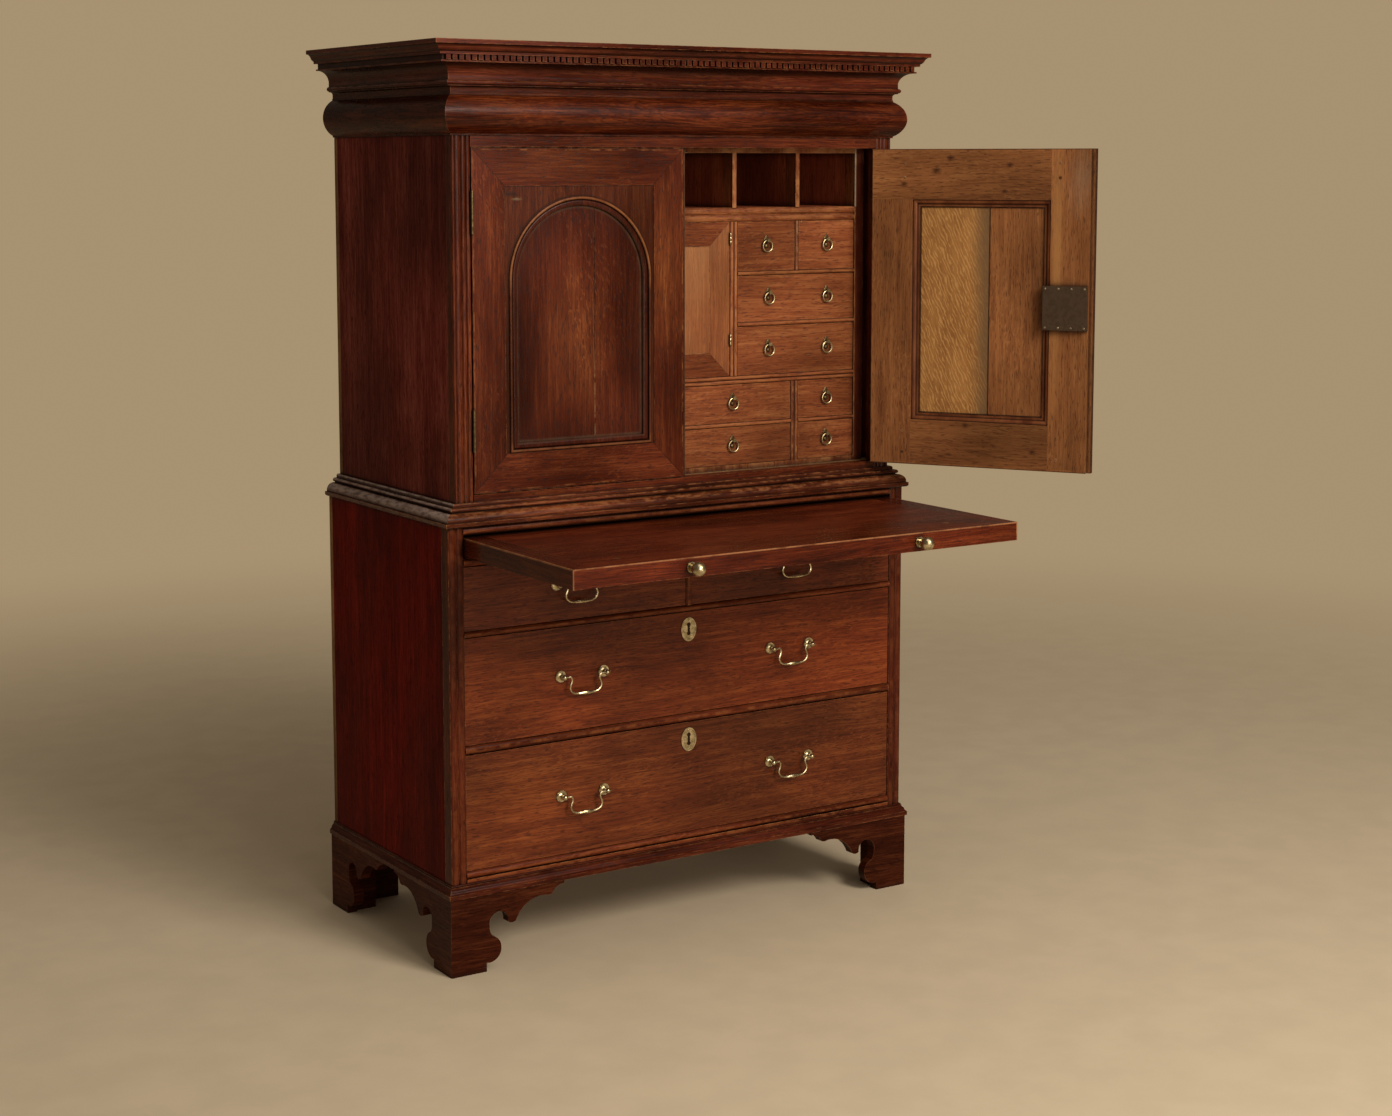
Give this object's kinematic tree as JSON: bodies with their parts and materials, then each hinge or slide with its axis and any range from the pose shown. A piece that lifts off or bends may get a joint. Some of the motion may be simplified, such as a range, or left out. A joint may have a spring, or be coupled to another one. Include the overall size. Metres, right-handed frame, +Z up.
{
  "type": "cabinet on chest",
  "caption": "Oak cabinet on a chest: a pair of panelled doors over a fitted interior, a pull-out writing slide, drawers with drop handles, a cushion frieze, dentil cornice and bracket feet.",
  "frame": {"origin": "on the floor, in the middle of the bounding box of the pictured pose", "axes": "+Z up, +X to the right seen from the front, -Y towards the person who opens it"},
  "size_m": [1.2792, 0.9764, 1.758],
  "materials": {
    "oak_polished": "polished, worn",
    "oak_interior": "satin",
    "oak_raw": "unpolished",
    "brass": "aged",
    "iron": "blackened"
  },
  "bodies": {
    "carcass": {"base_moulding": "oak_polished", "bracket_feet": "oak_polished", "cabinet_back": "oak_raw", "cabinet_boards": "oak_raw", "cabinet_front_frame": "oak_polished", "cabinet_hinge_leaves": "iron", "cabinet_sides": "oak_polished", "centre_drawers": "oak_interior", "chest_back": "oak_raw", "chest_dust_boards": "oak_raw", "chest_front_frame": "oak_polished", "chest_sides": "oak_polished", "chest_top": "oak_raw", "cornice_frame": "oak_raw", "cornice_moulding": "oak_polished", "cupboard_door": "oak_interior", "cushion_frieze": "oak_polished", "dentil_strip": "oak_polished", "drawer_guides": "oak_raw", "fixed_rings": "brass", "left_base_drawers": "oak_interior", "left_small_drawers": "oak_interior", "left_wide_drawers": "oak_interior", "nest_case": "oak_interior", "nest_shelves": "oak_interior", "nest_uprights": "oak_interior", "waist_moulding": "oak_polished"},
    "left_door": {"left_door_frame": "oak_polished", "left_door_panel": "oak_polished", "left_door_hinges": "iron"},
    "right_door": {"right_door_frame": "oak_polished", "right_door_panel": "oak_polished", "right_door_ironwork": "iron"},
    "slide": {"writing_slide": "oak_polished", "slide_knobs": "brass"},
    "lower_drawer": {"lower_drawer": "oak_polished", "lower_drawer_brass": "brass"},
    "lower_drawer_bails": {"lower_drawer_bails": "brass"},
    "upper_drawer": {"upper_drawer": "oak_polished", "upper_drawer_brass": "brass"},
    "upper_drawer_bails": {"upper_drawer_bails": "brass"},
    "left_short_drawer": {"left_short_drawer": "oak_polished", "left_short_drawer_brass": "brass"},
    "left_short_drawer_bails": {"left_short_drawer_bails": "brass"},
    "right_short_drawer": {"right_short_drawer": "oak_polished", "right_short_drawer_brass": "brass"},
    "right_short_drawer_bails": {"right_short_drawer_bails": "brass"},
    "right_inner_small_drawer": {"right_inner_small_drawer": "oak_interior"},
    "right_inner_small_drawer_ring": {"right_inner_small_drawer_ring": "brass"},
    "right_outer_small_drawer": {"right_outer_small_drawer": "oak_interior"},
    "right_outer_small_drawer_ring": {"right_outer_small_drawer_ring": "brass"},
    "right_wide_drawer": {"right_wide_drawer": "oak_interior"},
    "right_wide_drawer_ring": {"right_wide_drawer_ring": "brass"},
    "right_lower_wide_drawer": {"right_lower_wide_drawer": "oak_interior"},
    "right_lower_wide_drawer_ring": {"right_lower_wide_drawer_ring": "brass"},
    "right_base_drawer": {"right_base_drawer": "oak_interior"},
    "right_base_drawer_ring": {"right_base_drawer_ring": "brass"},
    "right_bottom_drawer": {"right_bottom_drawer": "oak_interior"},
    "right_bottom_drawer_ring": {"right_bottom_drawer_ring": "brass"}
  },
  "joints": [
    {"name": "left_door_hinge", "type": "hinge", "parent": "carcass", "child": "left_door", "pos_m": [-0.54207, -0.0307, 1.24], "axis": [0, 0, -1], "range_deg": [0, 175]},
    {"name": "right_door_hinge", "type": "hinge", "parent": "carcass", "child": "right_door", "pos_m": [0.39483, -0.0307, 1.24], "axis": [0, 0, 1], "range_deg": [-122, 53]},
    {"name": "slide_travel", "type": "slide", "parent": "carcass", "child": "slide", "axis": [0, -1, 0], "range_m": [-0.405, 0.02]},
    {"name": "lower_drawer_travel", "type": "slide", "parent": "carcass", "child": "lower_drawer", "axis": [0, -1, 0], "range_m": [0, 0.34]},
    {"name": "lower_drawer_bail_swing", "type": "hinge", "parent": "lower_drawer", "child": "lower_drawer_bails", "pos_m": [-0.31935, -0.0568, 0.31488], "axis": [-1, 0, 0], "range_deg": [0, 90]},
    {"name": "upper_drawer_travel", "type": "slide", "parent": "carcass", "child": "upper_drawer", "axis": [0, -1, 0], "range_m": [0, 0.34]},
    {"name": "upper_drawer_bail_swing", "type": "hinge", "parent": "upper_drawer", "child": "upper_drawer_bails", "pos_m": [-0.31935, -0.0568, 0.55118], "axis": [-1, 0, 0], "range_deg": [0, 90]},
    {"name": "left_short_drawer_travel", "type": "slide", "parent": "carcass", "child": "left_short_drawer", "axis": [0, -1, 0], "range_m": [0, 0.34]},
    {"name": "left_short_drawer_bail_swing", "type": "hinge", "parent": "left_short_drawer", "child": "left_short_drawer_bails", "pos_m": [-0.32737, -0.0568, 0.73172], "axis": [-1, 0, 0], "range_deg": [0, 90]},
    {"name": "right_short_drawer_travel", "type": "slide", "parent": "carcass", "child": "right_short_drawer", "axis": [0, -1, 0], "range_m": [0, 0.34]},
    {"name": "right_short_drawer_bail_swing", "type": "hinge", "parent": "right_short_drawer", "child": "right_short_drawer_bails", "pos_m": [0.18013, -0.0568, 0.73172], "axis": [-1, 0, 0], "range_deg": [0, 90]},
    {"name": "right_inner_small_drawer_travel", "type": "slide", "parent": "carcass", "child": "right_inner_small_drawer", "axis": [0, -1, 0], "range_m": [0, 0.26]},
    {"name": "right_inner_small_drawer_ring_swing", "type": "hinge", "parent": "right_inner_small_drawer", "child": "right_inner_small_drawer_ring", "pos_m": [0.15258, 0.0112, 1.3795], "axis": [-1, 0, 0], "range_deg": [0, 90]},
    {"name": "right_outer_small_drawer_travel", "type": "slide", "parent": "carcass", "child": "right_outer_small_drawer", "axis": [0, -1, 0], "range_m": [0, 0.26]},
    {"name": "right_outer_small_drawer_ring_swing", "type": "hinge", "parent": "right_outer_small_drawer", "child": "right_outer_small_drawer_ring", "pos_m": [0.30278, 0.0112, 1.3795], "axis": [-1, 0, 0], "range_deg": [0, 90]},
    {"name": "right_wide_drawer_travel", "type": "slide", "parent": "carcass", "child": "right_wide_drawer", "axis": [0, -1, 0], "range_m": [0, 0.26]},
    {"name": "right_wide_drawer_ring_swing", "type": "hinge", "parent": "right_wide_drawer", "child": "right_wide_drawer_ring", "pos_m": [0.15774, 0.0112, 1.2735], "axis": [-1, 0, 0], "range_deg": [0, 90]},
    {"name": "right_lower_wide_drawer_travel", "type": "slide", "parent": "carcass", "child": "right_lower_wide_drawer", "axis": [0, -1, 0], "range_m": [0, 0.26]},
    {"name": "right_lower_wide_drawer_ring_swing", "type": "hinge", "parent": "right_lower_wide_drawer", "child": "right_lower_wide_drawer_ring", "pos_m": [0.15774, 0.0112, 1.168], "axis": [-1, 0, 0], "range_deg": [0, 90]},
    {"name": "right_base_drawer_travel", "type": "slide", "parent": "carcass", "child": "right_base_drawer", "axis": [0, -1, 0], "range_m": [0, 0.26]},
    {"name": "right_base_drawer_ring_swing", "type": "hinge", "parent": "right_base_drawer", "child": "right_base_drawer_ring", "pos_m": [0.30303, 0.0112, 1.0625], "axis": [-1, 0, 0], "range_deg": [0, 90]},
    {"name": "right_bottom_drawer_travel", "type": "slide", "parent": "carcass", "child": "right_bottom_drawer", "axis": [0, -1, 0], "range_m": [0, 0.26]},
    {"name": "right_bottom_drawer_ring_swing", "type": "hinge", "parent": "right_bottom_drawer", "child": "right_bottom_drawer_ring", "pos_m": [0.30303, 0.0112, 0.97625], "axis": [-1, 0, 0], "range_deg": [0, 90]}
  ]
}
